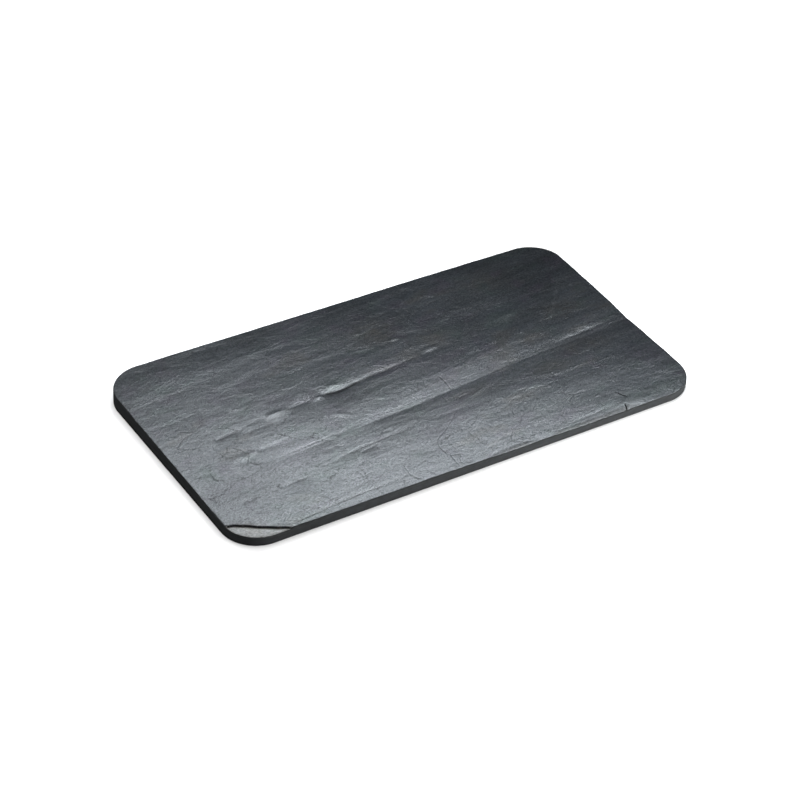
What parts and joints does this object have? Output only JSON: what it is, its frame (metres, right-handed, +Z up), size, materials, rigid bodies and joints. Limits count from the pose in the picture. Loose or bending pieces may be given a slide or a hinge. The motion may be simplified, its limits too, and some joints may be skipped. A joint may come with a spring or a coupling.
{
  "type": "slate slab",
  "caption": "Thin oblong slab of riven slate with rounded corners, ground edges, a ledged upper face and one spalled corner, for serving, display or as a base.",
  "frame": {"origin": "middle of the underside, on the surface the slab rests on", "axes": "+X along the slab towards its thinner end, +Y across it from the front edge to the thicker back edge, +Z up through its thickness"},
  "size_m": [0.325, 0.176, 0.0096],
  "materials": {
    "slate": "riven slate, satin, blue-grey to near black"
  },
  "bodies": {
    "root": {"slab": "slate"}
  },
  "joints": []
}
